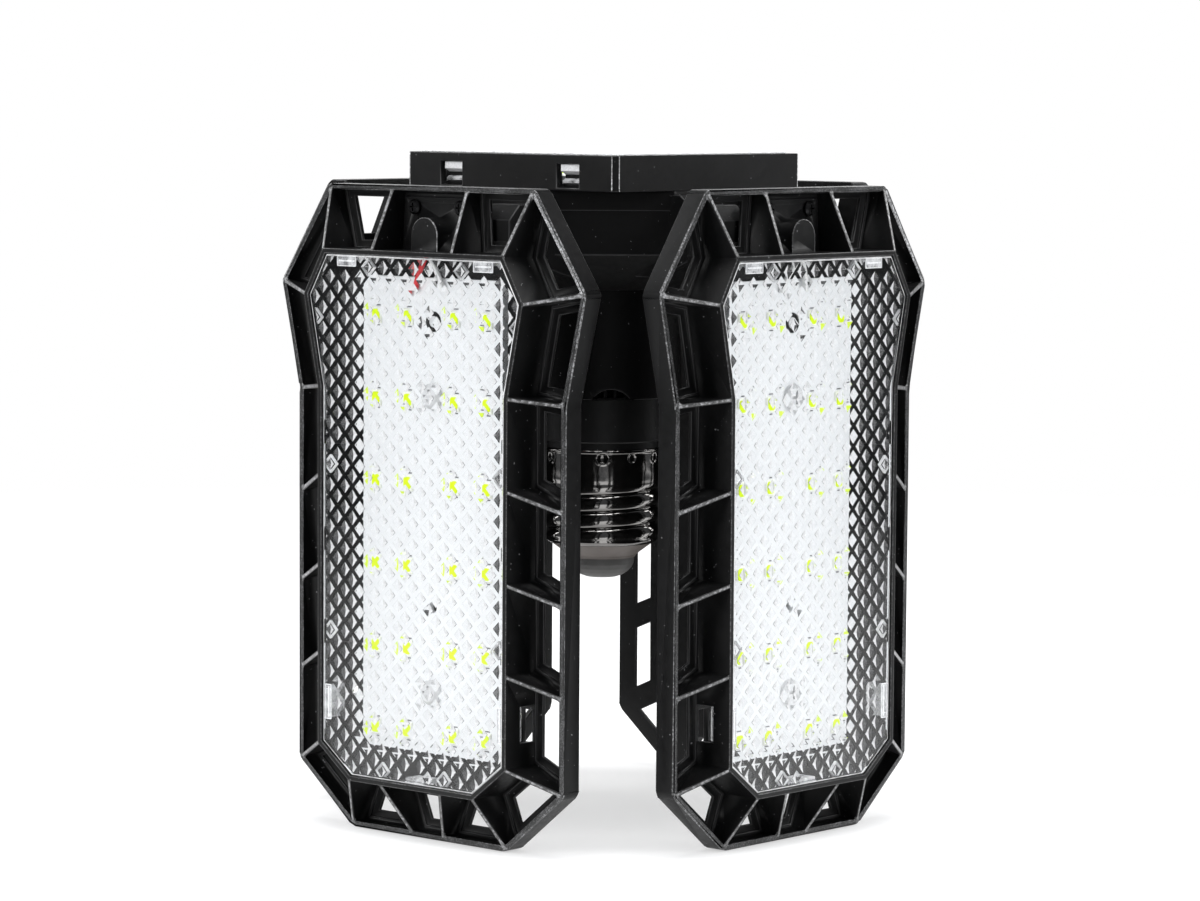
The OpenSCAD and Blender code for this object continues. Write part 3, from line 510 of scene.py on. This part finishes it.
def panel_moulding(k, s):
    """The panel frame with rounded corners, rounded rim and softened ribs."""
    node = "panel_frame_" + s
    bm = bmesh.new()
    bm.from_mesh(nodes[node].data)
    bmesh.ops.transform(bm, matrix=side_matrix(k).inverted(), verts=bm.verts)
    bmesh.ops.remove_doubles(bm, verts=bm.verts, dist=3e-3)
    bmesh.ops.dissolve_degenerate(bm, dist=2e-3, edges=bm.edges)
    bmesh.ops.dissolve_limit(bm, angle_limit=rad(0.4), use_dissolve_boundaries=False, verts=bm.verts, edges=bm.edges)
    bmesh.ops.triangulate(bm, faces=bm.faces, quad_method="BEAUTY", ngon_method="BEAUTY")
    bm.normal_update()

    def bevel(edges, width, segments, material):
        if edges:
            bmesh.ops.bevel(bm, geom=edges, offset=width, offset_type="OFFSET", segments=segments, profile=0.5,
                            affect="EDGES", clamp_overlap=False, material=material, loop_slide=True)
            bm.normal_update()

    corners = []
    for e in bm.edges:
        a, b = e.verts[0].co, e.verts[1].co
        if abs(a.z - b.z) > 4 and math.hypot(a.x - b.x, a.y - b.y) < 0.05:
            if min(math.hypot(a.x - p[0], a.y - p[1]) for p in RIM) < 0.05:
                corners.append(e)
    bevel(corners, 1.0, 4, 0)
    outer = []
    for e in bm.edges:
        a, b = e.verts[0].co, e.verts[1].co
        if min(a.z, b.z) < 54.9 or max(a.z, b.z) > 55.0 or len(e.link_faces) != 2:
            continue
        f = [q.normal for q in e.link_faces]
        top = max(f, key=lambda q: q.z)
        side = min(f, key=lambda q: abs(q.z))
        if top.z < 0.9 or abs(side.z) > 0.3:
            continue
        mid = (a + b) / 2
        if side.x * mid.x + side.y * (mid.y + 68) > 0:
            outer.append(e)
    # The outer rim edges are rounded with the edge material: a painted highlight.
    bevel(outer, 0.42, 4, 2)
    rest = []
    for e in bm.edges:
        if len(e.link_faces) != 2 or e.calc_length() < 0.45 or not e.is_convex:
            continue
        if rad(28) < e.calc_face_angle(0.0) < rad(165):
            rest.append(e)
    # The other convex edges are rounded with material 1, the lighter corner copy: a painted highlight.
    bevel(rest, 0.19, 2, 1)
    for f in bm.faces:
        c = f.calc_center_median()
        n = f.normal
        if abs(c.x) < 4.3 and -14.5 < c.y < -4.5 and 52.0 < c.z < 57.0:
            # the wire hood: painted highlights, a paler grained front and a bright rounded outline
            f.material_index = (4 if n.x > 0.2 else 3) if f.material_index == 1 and n.z > 0.2 else (0 if n.z > 0.9 else f.material_index)
        # Painted highlights on the rounded front edges: the rim's get the edge material, the tray's front the front
        # material; bevels between rim and tray keep material 1.
        elif f.material_index == 1 and c.z > 54.6 and n.z > 0.25:
            between = near_line(RIM_IN, c.x, c.y) > 0.45 and near_line(TRAY, c.x, c.y) > 0.45 and c.z < 60.2
            f.material_index = 1 if between else (3 if c.z > 60.0 else 2)
        # Painted highlights on flat faces: the rim's flat front gets the front material, the sloping rib tops the rib
        # material.
        elif f.material_index == 0:
            if n.z > 0.97 and abs(c.z - 54.95) < 0.06:
                f.material_index = 3
            elif 0.25 < n.z < 0.985 and 54.7 < c.z < 60.45 and near_line(RIM_IN, c.x, c.y) > 0.3 and near_line(TRAY, c.x, c.y) > 0.2:
                f.material_index = 4
    for f in bm.faces:
        c = f.calc_center_median()
        n = f.normal
        off = near_line(RIM, c.x, c.y)
        slope = 29.9 < c.x < 44.4 and -20.1 < c.y < 1.0
        if f.material_index in (2, 3) and 54.4 < c.z < 55.2:
            # the upper right slope of the rim and the top edge get a painted highlight, a clean line of light
            if slope and n.z > 0.25 and off > 0.35:
                f.material_index = 5
            elif c.y > 0.45 and 0.5 < n.y < 0.88 and n.z > 0.3:
                f.material_index = 5
        # Painted shade: the outer side of that slope gets a less shiny copy of the black moulding.
        elif f.material_index == 0 and slope and abs(n.z) < 0.3 and off < 0.2:
            f.material_index = 6
    bmesh.ops.transform(bm, matrix=side_matrix(k), verts=bm.verts)
    me = bpy.data.meshes.new(node + "_moulding")
    bm.to_mesh(me)
    bm.free()
    for m in (M["black"], M["soft"], M["edge"], M["front"], M["ribline"], M["glint"], M["dull"]):
        me.materials.append(m)
    ob = link(me, node + "_moulding")
    weighted(ob)
    return finish_piece(ob, "panel_" + s, [node])


for k, s in enumerate(SIDES):
    panel_moulding(k, s)
    bevelled("panel_knuckle_" + s, "panel_knuckle_" + s + "_moulding", "panel_" + s, 0.25, [M["knuckle"], M["soft"]])


def top_edges(c, n):
    """Which rounded edges of the hub's top frame get a painted highlight: the upright corners and the upper rim."""
    x, y, z = abs(c.x), abs(c.y), c.z - ZB * MM
    if max(x, y) < 0.0296:
        return 1
    if abs(n.z) < 0.3 and min(x, y) > 0.0285:
        return 3
    if n.z > 0.3 and z > 0.0070:
        return 2
    return 1


bevelled("hub_top_frame", "hub_top_frame_moulding", "root", 0.2, [M["hub"], M["soft"], M["front"], M["corner"]], pick=top_edges)
bevelled("hub_housing", "hub_housing_moulding", "root", 0.22, [M["hub"], M["soft"]])


# ------------------------------------------------------------------ clear covers with a prism pattern inside
PU, PV = 2.25, 2.23


def clip_poly(pts, convex):
    """A planar polygon [(x, y, z)...] cut by a clockwise convex outline."""
    n = len(convex)
    for i in range(n):
        a, b = convex[i], convex[(i + 1) % n]
        nx, ny = b[1] - a[1], a[0] - b[0]
        out = []
        dist = [(p[0] - a[0]) * nx + (p[1] - a[1]) * ny for p in pts]
        for j, p in enumerate(pts):
            q, dp, dq = pts[(j + 1) % len(pts)], dist[j], dist[(j + 1) % len(pts)]
            if dp >= -1e-7:
                out.append(p)
            if (dp > 1e-7 and dq < -1e-7) or (dp < -1e-7 and dq > 1e-7):
                if (p[0], p[1], p[2]) > (q[0], q[1], q[2]):
                    p2, q2, a2, b2 = q, p, dq, dp
                else:
                    p2, q2, a2, b2 = p, q, dp, dq
                t = a2 / (a2 - b2)
                out.append(tuple(p2[c] + t * (q2[c] - p2[c]) for c in range(3)))
        pts = out
        if len(pts) < 3:
            return []
    return pts


def area2(pts):
    return abs(sum(pts[i - 1][0] * pts[i][1] - pts[i][0] * pts[i - 1][1] for i in range(len(pts)))) / 2


FILL = 0.70


def prism_sheet(solid, outline, parts, y0, rows, columns, base, apex, ring, front, marked, border=0.45, edge=0.34, plain=None):
    """A clear sheet: flat face at front, diamond pyramids standing on its inner face.

    Materials: 0 clear, 1 pyramid facets, 2 their creases and feet, 3 the frosted outer border and raised marks.
    """
    inner = inset(outline, border)
    fall = base - apex
    for r in range(rows[0], rows[1] + 1):
        for c in range(columns[0], columns[1] + 1):
            cx = 2 * PU * c + (PU if r % 2 else 0)
            cy = y0 - PV * r
            foot = base - 0.12
            if plain and plain(cx, cy):
                rings = [(0, base, 0), (1, base, 0)]
            elif (round(cx, 2), r) in marked:
                rings = [(0, apex, 1), (0.50, foot, 2), (0.55, base, 0), (0.70, base, 3), (0.735, ring + 0.06, 3), (0.87, ring + 0.06, 3), (0.905, base, 0), (1, base, 0)]
            else:
                rings = [(0, apex, 1), (FILL - 0.1, foot, 2), (FILL, base, 0), (1, base, 0)]
            split = {f for f, _, m in rings if m == 2}
            split |= {f for (_, _, m), (f, _, _) in zip(rings, rings[1:]) if m == 2}
            for (f0, z0, m0), (f1, z1, m1) in zip(rings, rings[1:]):
                for (ax, ay), (bx, by) in (((1, 0), (0, 1)), ((0, 1), (-1, 0)), ((-1, 0), (0, -1)), ((0, -1), (1, 0))):
                    t = 0.42 if ax else 0.58

                    def along(f, z):
                        """Points of one diamond side, with the place where its crease changes."""
                        A, B = (cx + f * PU * ax, cy + f * PV * ay, z), (cx + f * PU * bx, cy + f * PV * by, z)
                        return [A, tuple(p + t * (q - p) for p, q in zip(A, B)), B] if f in split else [A, B]

                    far, near = along(f1, z1), along(f0, z0)[::-1] if f0 > 0 else [(cx, cy, z0)]
                    if m0 == 2:
                        shapes = [(far[:2] + near[1:], 2 if ax else 1), (far[1:] + near[:2], 1 if ax else 2)]
                    else:
                        shapes = [(far + near, m0)]
                    for shape, kind in shapes:
                        for part in parts(inner):
                            got = clip_poly(shape, part)
                            if got and area2(got) > 1e-4:
                                solid.face(got, kind)
    # walls and the flat border, from the pattern's own open edges
    count = {}
    for f in solid.faces:
        for i in range(len(f)):
            e = (f[i], f[(i + 1) % len(f)])
            count.setdefault(frozenset(e), []).append(e)
    open_edges = [v[0] for v in count.values() if len(v) == 1]
    walls = []
    for a, b in open_edges:
        pa, pb = solid.verts[a], solid.verts[b]
        if math.hypot(pa[0] - pb[0], pa[1] - pb[1]) < 2e-3:
            continue
        ra, rb = (pa[0], pa[1], ring), (pb[0], pb[1], ring)
        walls.append((pa, pb, rb, ra))
    for w in walls:
        solid.face(w, 0)
    n = len(outline)
    for i in range(n):
        a, b = inner[i], inner[(i + 1) % n]
        d = unit((b[0] - a[0], b[1] - a[1]))
        on = {}
        for pa, pb, rb, ra in walls:
            for p in (ra, rb):
                off = abs((p[0] - a[0]) * d[1] - (p[1] - a[1]) * d[0])
                t = (p[0] - a[0]) * d[0] + (p[1] - a[1]) * d[1]
                if off < 5e-3 and -5e-3 < t < math.hypot(b[0] - a[0], b[1] - a[1]) + 5e-3:
                    on[round(t, 3)] = p
        pts = [on[t] for t in sorted(on)]
        A, B = outline[i], outline[(i + 1) % n]
        solid.face(pts + [(B[0], B[1], ring), (A[0], A[1], ring)], 0)
    top = inset(outline, edge)
    mid = inset(outline, edge * 0.3)
    levels = [(outline, ring), (outline, front - edge), (mid, front - edge * 0.3), (top, front)]
    for step, ((P, z), (Q, w)) in enumerate(zip(levels, levels[1:])):
        for i in range(n):
            j = (i + 1) % n
            solid.face([(*P[i], z), (*P[j], z), (*Q[j], w), (*Q[i], w)], 3 if step else 0)
    solid.face([(*p, front) for p in top])


def clip_shape(solid, width, legs, matrix, mat, sides=None):
    """A snap clip: a leg and its hook, drawn in the y-z plane and given width along x.

    sides gives the material of single faces, by the number of the outline's edge.
    """
    base = len(solid.verts)
    for poly in legs:
        n = len(poly)
        b = len(solid.verts)
        for x in (-width / 2, width / 2):
            for y, z in poly:
                solid.verts.append(tuple(matrix @ Vector((x, y, z))))
        solid.faces += [[b + i for i in range(n)], [b + n + i for i in range(n - 1, -1, -1)]]
        solid.mats += [mat, mat]
        for i in range(n):
            j = (i + 1) % n
            solid.faces.append([b + i, b + n + i, b + n + j, b + j])
            solid.mats.append((sides or {}).get(i, mat))
    return base


def panel_parts(inner):
    """The waisted outline as two convex halves, cut across the waist."""
    y = inner[2][1]
    up = [inner[i] for i in (0, 1, 2)] + [inner[i] for i in (7, 8, 9)]
    low = [inner[i] for i in (2, 3, 4, 5, 6, 7)]
    assert abs(inner[7][1] - y) < 1e-6
    return [up, low]


PANEL_MARKED = {(s * x, r) for s in (-1, 1) for x, r in ((13.5, 0), (29.25, 5), (24.75, 19), (24.75, 35), (9.0, 48))}
LEG = [(-1.1, 54.2), (-0.45, 54.2), (0.15, 54.5), (0.75, 55.2), (0.75, 55.65), (-0.1, 55.65), (-0.1, 58.46), (-1.1, 58.46)]


def tab_frame(so, cx, cy, w, h, z, turn=0.0):
    """The moulded outline of a snap tab on the inner face: a frosted frame with two cross lines."""
    c, sn = math.cos(rad(turn)), math.sin(rad(turn))
    so.prism([(cx + px * c - py * sn, cy + px * sn + py * c) for px, py in rounded(w, h, 0.1, n=1)], z - 0.3, z - 0.2, 4)
    bars = [(0, h / 2, w, 0.3), (0, -h / 2, w, 0.16), (-w / 2, 0, 0.2, h), (w / 2, 0, 0.2, h), (0, h / 2 - 1.0, w - 0.8, 0.36), (w / 2 - 1.0, 0, 0.16, h * 0.8)]
    for bx, by, bw, bh in bars:
        pts = [(bx + sx * bw / 2, by + sy * bh / 2) for sx, sy in ((-1, -1), (1, -1), (1, 1), (-1, 1))]
        so.prism([(cx + px * c - py * sn, cy + px * sn + py * c) for px, py in pts], z - 0.16, z - 0.01, 3)


def plain_at(x, y):
    """Where the panel cover has no prisms: over its snap tabs."""
    x = abs(x)
    return (16.4 < x < 23.4 and y > -16.5) or (x > 22.6 and -114.3 < y < -105.7) or (x < 3.6 and y < -121.5)


def panel_lens(k, s):
    so = Solid()
    prism_sheet(so, LENS, panel_parts, -16.3, (-3, 52), (-8, 8), 59.2, 58.62, 58.5, 60.1, PANEL_MARKED, plain=plain_at)
    for x in (-19.9, 19.9):
        tab_frame(so, x, -15.2, 5.4, 2.1, 59.2)
    for sx in (-1, 1):
        tab_frame(so, sx * 25.3, -110, 7.4, 1.7, 59.2, turn=-90 * sx)
    for x in (-19.5, 19.5):
        clip_shape(so, 5.4, [LEG], Matrix.Translation((x, -13.8, 0)), 4)
    for sx in (-1, 1):
        clip_shape(so, 7.0, [LEG], Matrix.Translation((sx * 26.4, -110, 0)) @ Matrix.Rotation(rad(-90 * sx), 4, "Z"), 4)
    clip_shape(so, 5.4, [LEG], Matrix.Translation((0, -125.1, 0)) @ Matrix.Rotation(rad(180), 4, "Z"), 4)
    me = so.mesh("panel_cover_" + s, side_matrix(k), [M[m] for m in ("clear", "facet", "crease", "frost", "tab")])
    ob = link(me, "panel_cover_" + s)
    return finish_piece(ob, "panel_" + s, ["panel_lens_" + s])


for k, s in enumerate(SIDES):
    panel_lens(k, s)


def soft_square(a, c):
    return [(a - c, a), (a, a - c), (a, -a + c), (a - c, -a), (-a + c, -a), (-a, -a + c), (-a, a - c), (-a + c, a)]


HW = 30.6


def hub_lens():
    so = Solid()
    prism_sheet(so, soft_square(HW - 2.05, 0.7), lambda inner: [inner], PV * 12, (-1, 25), (-7, 6), 7.2, 6.62, 6.5, 8.1,
                {(s * x, r) for s in (-1, 1) for x, r in ((13.5, 2), (13.5, 22), (22.5, 12))})
    leg = [(-1.1, 1.65), (0.7, 1.65), (0.7, 2.1), (-0.1, 2.6), (-0.1, 3.4), (0.3, 3.6), (1.3, 4.15), (1.3, 5.55), (-0.1, 5.55), (-0.1, 6.46), (-1.1, 6.46)]
    # Painted highlight and shade on the hub cover's clips: the hook faces are almost pure white, and the clear leg's
    # faces above, below and behind the hook are the black hub moulding.
    for a in (0, 180):
        for x in (-17, 17):
            clip_shape(so, 5.4, [leg], Matrix.Rotation(rad(a), 4, "Z") @ Matrix.Translation((x, HW - 2.2, 0)), 4,
                       {3: 5, 4: 6, 5: 6, 6: 6, 7: 6, 8: 5, 10: 5})
    me = so.mesh("hub_cover", hub_matrix(), [M[m] for m in ("clear", "facet", "crease", "frost", "tab", "hub", "hook")])
    return finish_piece(link(me, "hub_cover"), "root", ["hub_lens"])


hub_lens()


# ------------------------------------------------------------------ LEDs
def led_at(so, x, y, z):
    so.prism([(x + px, y + py) for px, py in rounded(2.8, 3.5, 0.12, n=2)], z + 0.02, z + 0.45, 0, bevel=0.25)
    so.prism([(x + px, y + py) for px, py in rounded(2.2, 2.6, 0.6, n=4)], z + 0.44, z + 0.6, 1, bevel=0.1)
    for sy in (-1, 1):
        so.prism([(x + px, y + sy * 1.62 + py) for px, py in rounded(1.9, 0.4, 0.1, n=2)], z + 0.005, z + 0.12, 2, bevel=0.05)
        so.prism([(x + px + sy * 0.1, y + sy * 2.12 + py) for px, py in rounded(1.8, 0.26, 0.05, n=2)], z + 0.004, z + 0.03, 3)


BOARD_F = 53.13
for k, s in enumerate(SIDES):
    so = Solid()
    for x in (-16.6, -7.2, 6.4, 15.8):
        for i in range(6):
            led_at(so, x, -26.7 - 17.65 * i, BOARD_F)
    me = so.mesh("panel_led_set_" + s, side_matrix(k), [M["led"], M["phosphor"], M["solder"], M["slit"]])
    finish_piece(link(me, "panel_led_set_" + s), "panel_" + s, ["panel_leds_" + s])

so = Solid()
for x in (-21, -7, 7, 21):
    for y in (-21, -7, 7, 21):
        led_at(so, x, y, 3.0)
me = so.mesh("hub_led_set", hub_matrix(), [M["led"], M["phosphor"], M["solder"], M["slit"]])
finish_piece(link(me, "hub_led_set"), "root", ["hub_leds"])


# ------------------------------------------------------------------ panel leads: one red, one white (both white on the right panel)
for k, s in enumerate(SIDES):
    me = nodes["panel_leads_" + s].data.copy()
    me.name = "panel_wires_" + s
    me.materials.clear()
    me.materials.append(M["white"] if s == "right" else M["red"])
    me.materials.append(M["white"])
    inv = side_matrix(k).inverted()
    for f in me.polygons:
        f.material_index = 0 if (inv @ f.center).x < 0 else 1
        f.use_smooth = True
    finish_piece(link(me, "panel_wires_" + s), "panel_" + s, ["panel_leads_" + s])

me = nodes["hub_leads"].data.copy()
me.name = "hub_wires"
me.materials.clear()
me.materials.append(M["red"])
me.materials.append(M["white"])
inverse = [side_matrix(k).inverted() for k in range(4)]
for f in me.polygons:
    local = max((m @ f.center for m in inverse), key=lambda q: q.z)
    f.material_index = 0 if local.x < 0 else 1
    f.use_smooth = True
finish_piece(link(me, "hub_wires"), "root", ["hub_leads"])


# ------------------------------------------------------------------ screw shell with a helical thread
def screw_shell():
    NA = 288
    z_top, z_thread, pitch, turns, R = -56.8, -64.3, 3.62, 3.55, 13.0
    z_end = z_thread - turns * pitch
    so = Solid()

    def outer(theta, z):
        """Radius of the outer face at an angle (in turns) and height."""
        if z > z_thread + 0.3:
            r = R
            # rolled top edge and, below it, a ring of crimp dimples
            d = z_top - z
            if d < 0.9:
                r = R + 0.25 * math.sin(math.pi * min(1, max(0, d / 0.9)))
            cell = (theta * 12 + 0.1) % 1 - 0.5
            du, dz = cell / 12 * 2 * math.pi * R, z + 58.65
            q = math.hypot(du, dz)
            if q < 1.05:
                r -= 0.5 * math.sqrt(max(0, 1 - (q / 1.05) ** 2))
            elif q < 1.6:
                r += 0.05 * math.sin(math.pi * (q - 1.05) / 0.55)
            return r
        # right-handed thread: wide round crests and narrow grooves
        t = (z_thread - z) / pitch
        phase = t + theta + 0.445
        fade = min(1, max(0, (z_thread + 0.3 - z) / 1.5)) * min(1, max(0, (z - z_end) / 1.0))
        depth = 1.0 * fade * (1 - abs(math.sin(math.pi * phase)) ** 0.62)
        return R - 0.03 - depth - 0.3 * (1 - min(1, max(0, (z - z_end) / 1.0)))

    rows = [z_top - 0.06 * i for i in range(16)]
    z = rows[-1]
    while z > -60.6:
        z -= 0.14
        rows.append(z)
    while z > z_thread + 0.35:
        z -= 0.4
        rows.append(z)
    while z > z_end:
        z -= 0.13
        rows.append(max(z, z_end))
    rings = []
    for z in rows:
        ring_ = []
        for i in range(NA):
            r, a = outer(i / NA, z), 2 * math.pi * i / NA
            ring_.append((r * math.cos(a), r * math.sin(a), z))
        rings.append(ring_)
    for r, z in [(11.75, z_end - 0.7), (11.2, z_end - 0.9), (11.2, z_end - 0.3), (11.3, z_end + 0.9), (11.3, z_thread - 2), (12.45, z_thread + 0.35), (12.45, z_top), (12.9, z_top)]:
        rings.append([(r * math.cos(2 * math.pi * i / NA), r * math.sin(2 * math.pi * i / NA), z) for i in range(NA)])
    base = len(so.verts)
    for ring_ in rings:
        so.verts += ring_
    m = len(rings)
    for a in range(m):
        b = (a + 1) % m
        for i in range(NA):
            j = (i + 1) % NA
            so.faces.append([base + a * NA + i, base + b * NA + i, base + b * NA + j, base + a * NA + j])
            so.mats.append(0)
    me = so.mesh("screw_shell_rolled", hub_matrix(), [M["nickel"]])
    for p in me.polygons:
        p.use_smooth = True
    return finish_piece(link(me, "screw_shell_rolled"), "root", ["screw_shell"])


screw_shell()

# ------------------------------------------------------------------ carried-over CAD nodes
PAINT = {
    "hub_board": "board", "hub_board_screws": "chrome", "housing_screws": "zinc", "driver_board": "pcb",
    "driver_capacitor": "cap", "driver_transformer": "tape", "driver_components": "part",
    "base_collar": "collar", "base_insulator": "insulator", "base_contact": "contact", "supply_leads": "white",
    "hinge_screws": "blackscrew", "hinge_washers": "zinc", "hinge_nuts": "zinc",
}
for s in SIDES:
    PAINT["panel_board_" + s] = "board"
    PAINT["panel_board_screws_" + s] = "chrome"
    PAINT["panel_knuckle_screws_" + s] = "blackscrew"
for n, m in PAINT.items():
    o = nodes[n]
    for sl in o.material_slots:
        sl.link = "OBJECT"
        sl.material = M[m]
    if not o.material_slots:
        o.data.materials.append(M[m])

# ------------------------------------------------------------------ floor, light and camera
me = bpy.data.meshes.new("floor")
bm = bmesh.new()
bmesh.ops.create_circle(bm, cap_ends=True, segments=96, radius=1.6)
bm.to_mesh(me)
bm.free()
floor = link(me, "floor")
floor.location = (0, 0, -0.0002)
fm, nt, p = new_mat("floor_paper")
c = coords(nt)
ln = nt.nodes.new("ShaderNodeVectorMath")
ln.operation = "LENGTH"
nt.links.new(c, ln.inputs[0])
fade = maprange(nt, ln.outputs["Value"], 0.22, 0.75, 0.0, 1.0)
fn = noise_node(nt, 250.0, 3.0, 0.5, coords=c)
nt.links.new(ramp(nt, fn.outputs["Fac"], [(0.3, (0.49, 0.49, 0.49)), (0.7, (0.51, 0.51, 0.51))]), p.inputs["Base Color"])
p.inputs["Emission Color"].default_value = (1, 1, 1, 1)
p.inputs["Emission Strength"].default_value = 0.5
p.inputs["Roughness"].default_value = 0.7
p.inputs["Specular IOR Level"].default_value = 0.1
tr = nt.nodes.new("ShaderNodeBsdfTransparent")
geo = nt.nodes.new("ShaderNodeNewGeometry")
mxm = nt.nodes.new("ShaderNodeMath")
mxm.operation = "MAXIMUM"
nt.links.new(fade, mxm.inputs[0])
nt.links.new(geo.outputs["Backfacing"], mxm.inputs[1])
ms = nt.nodes.new("ShaderNodeMixShader")
nt.links.new(mxm.outputs[0], ms.inputs[0])
nt.links.new(p.outputs[0], ms.inputs[1])
nt.links.new(tr.outputs[0], ms.inputs[2])
nt.links.new(ms.outputs[0], nt.nodes["Material Output"].inputs["Surface"])
me.materials.append(fm)

world = bpy.data.worlds.new("studio")
bpy.context.scene.world = world
world.use_nodes = True
nt = world.node_tree
nt.nodes.clear()
lp = nt.nodes.new("ShaderNodeLightPath")
wb = nt.nodes.new("ShaderNodeBackground")
wb.inputs["Color"].default_value = (1, 1, 1, 1)
wb.inputs["Strength"].default_value = 1.0
wa = nt.nodes.new("ShaderNodeBackground")
wa.inputs["Color"].default_value = (0.93, 0.96, 1, 1)
wa.inputs["Strength"].default_value = 0.62
wg = nt.nodes.new("ShaderNodeBackground")
wg.inputs["Color"].default_value = (0.93, 0.96, 1, 1)
wg.inputs["Strength"].default_value = 0.14
mg = nt.nodes.new("ShaderNodeMixShader")
nt.links.new(lp.outputs["Is Glossy Ray"], mg.inputs[0])
nt.links.new(wa.outputs[0], mg.inputs[1])
nt.links.new(wg.outputs[0], mg.inputs[2])
mw = nt.nodes.new("ShaderNodeMixShader")
out = nt.nodes.new("ShaderNodeOutputWorld")
nt.links.new(lp.outputs["Is Camera Ray"], mw.inputs[0])
nt.links.new(mg.outputs[0], mw.inputs[1])
nt.links.new(wb.outputs[0], mw.inputs[2])
nt.links.new(mw.outputs[0], out.inputs["Surface"])


def softbox(name, at, size, power, target=(0, 0, 0.07), colour=(1, 1, 1)):
    d = bpy.data.lights.new(name, "AREA")
    d.shape = "RECTANGLE"
    d.size, d.size_y = size
    d.energy = power
    d.color = colour
    o = bpy.data.objects.new(name, d)
    bpy.context.scene.collection.objects.link(o)
    o.location = at
    o.rotation_euler = (Vector(target) - Vector(at)).to_track_quat("-Z", "Y").to_euler()
    o.visible_camera = False
    return o


softbox("key_front", (-0.25, -1.15, 0.55), (0.5, 0.8), 7.5)
softbox("key_right", (1.15, 0.25, 0.55), (0.5, 0.8), 7.5)
softbox("key_back", (0.25, 1.15, 0.55), (0.5, 0.8), 6.5)
softbox("key_left", (-1.15, -0.25, 0.55), (0.5, 0.8), 6.5)
softbox("top", (0.1, -0.1, 1.3), (0.9, 0.9), 13.0)
softbox("low_back", (-0.62, 0.62, 0.36), (1.0, 0.5), 3.0)

AZ, EL, ROLL, DIST, F = 45 + math.degrees(-0.05642563118160229), math.degrees(0.08673650177937303), 0.006359853996551183, 937.4412791850009, 4256.309920917453
TX, TZ = -0.49824768064924574, ZB - 57.92616651337672
a, e = rad(AZ), rad(EL)
back = Vector((math.sin(a) * math.cos(e), -math.cos(a) * math.cos(e), math.sin(e)))
right = (-back).cross(Vector((0, 0, 1))).normalized()
up = right.cross(-back)
r2 = math.cos(ROLL) * right + math.sin(ROLL) * up
u2 = -math.sin(ROLL) * right + math.cos(ROLL) * up
eye = (r2 * TX + Vector((0, 0, TZ)) + back * DIST) * MM
cd = bpy.data.cameras.new("camera")
cam = bpy.data.objects.new("camera", cd)
bpy.context.scene.collection.objects.link(cam)
cam.matrix_world = Matrix(((r2.x, u2.x, back.x, eye.x), (r2.y, u2.y, back.y, eye.y), (r2.z, u2.z, back.z, eye.z), (0, 0, 0, 1)))
cd.sensor_fit = "HORIZONTAL"
cd.sensor_width = 36.0
cd.lens = F / 1200 * 36.0
cd.clip_start, cd.clip_end = 0.05, 20
bpy.context.scene.camera = cam
bpy.context.scene.view_settings.view_transform = "Standard"
bpy.context.scene.view_settings.look = "None"
